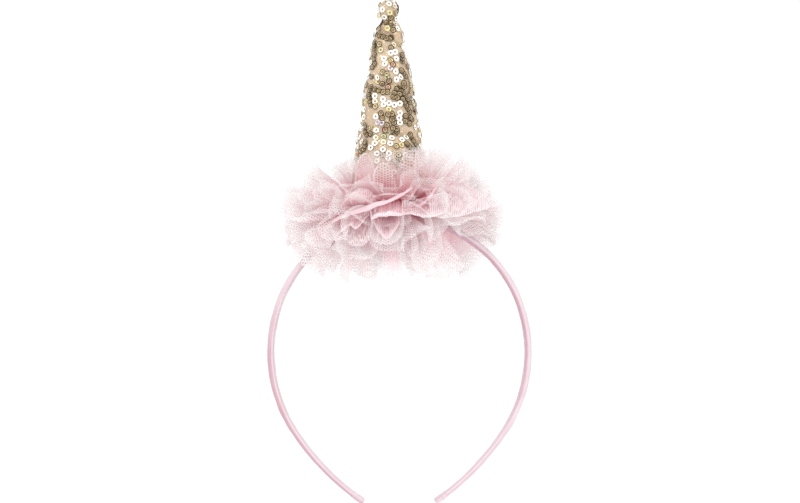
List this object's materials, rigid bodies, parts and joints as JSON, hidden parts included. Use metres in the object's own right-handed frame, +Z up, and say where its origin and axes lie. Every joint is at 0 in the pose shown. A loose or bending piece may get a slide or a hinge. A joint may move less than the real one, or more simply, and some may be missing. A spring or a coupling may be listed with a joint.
{
  "type": "unicorn horn headband",
  "caption": "Ribbon-covered hair band with a stuffed, spiral-wound sequin horn and a gathered tulle ruffle round its foot.",
  "frame": {"origin": "on the inside of the band at the crown, where it sits on top of the head", "axes": "+Z up out of the head along the horn, X across the head from ear to ear, the wearer faces -Y"},
  "size_m": [0.1318, 0.1088, 0.2526],
  "materials": {
    "satin": "pale pink satin ribbon",
    "sequin_cloth": "beige mesh cloth covered in gold cup sequins",
    "sequins": "metallised pale gold film",
    "tulle": "fine pink net, see-through at the rims"
  },
  "bodies": {
    "root": {"band": "satin", "tip_wrap_left": "satin", "tip_wrap_right": "satin", "horn": "sequin_cloth", "tulle_hem": "tulle", "tulle_lower": "tulle", "tulle_middle": "tulle", "tulle_upper": "tulle", "tulle_crown": "tulle"}
  },
  "joints": []
}
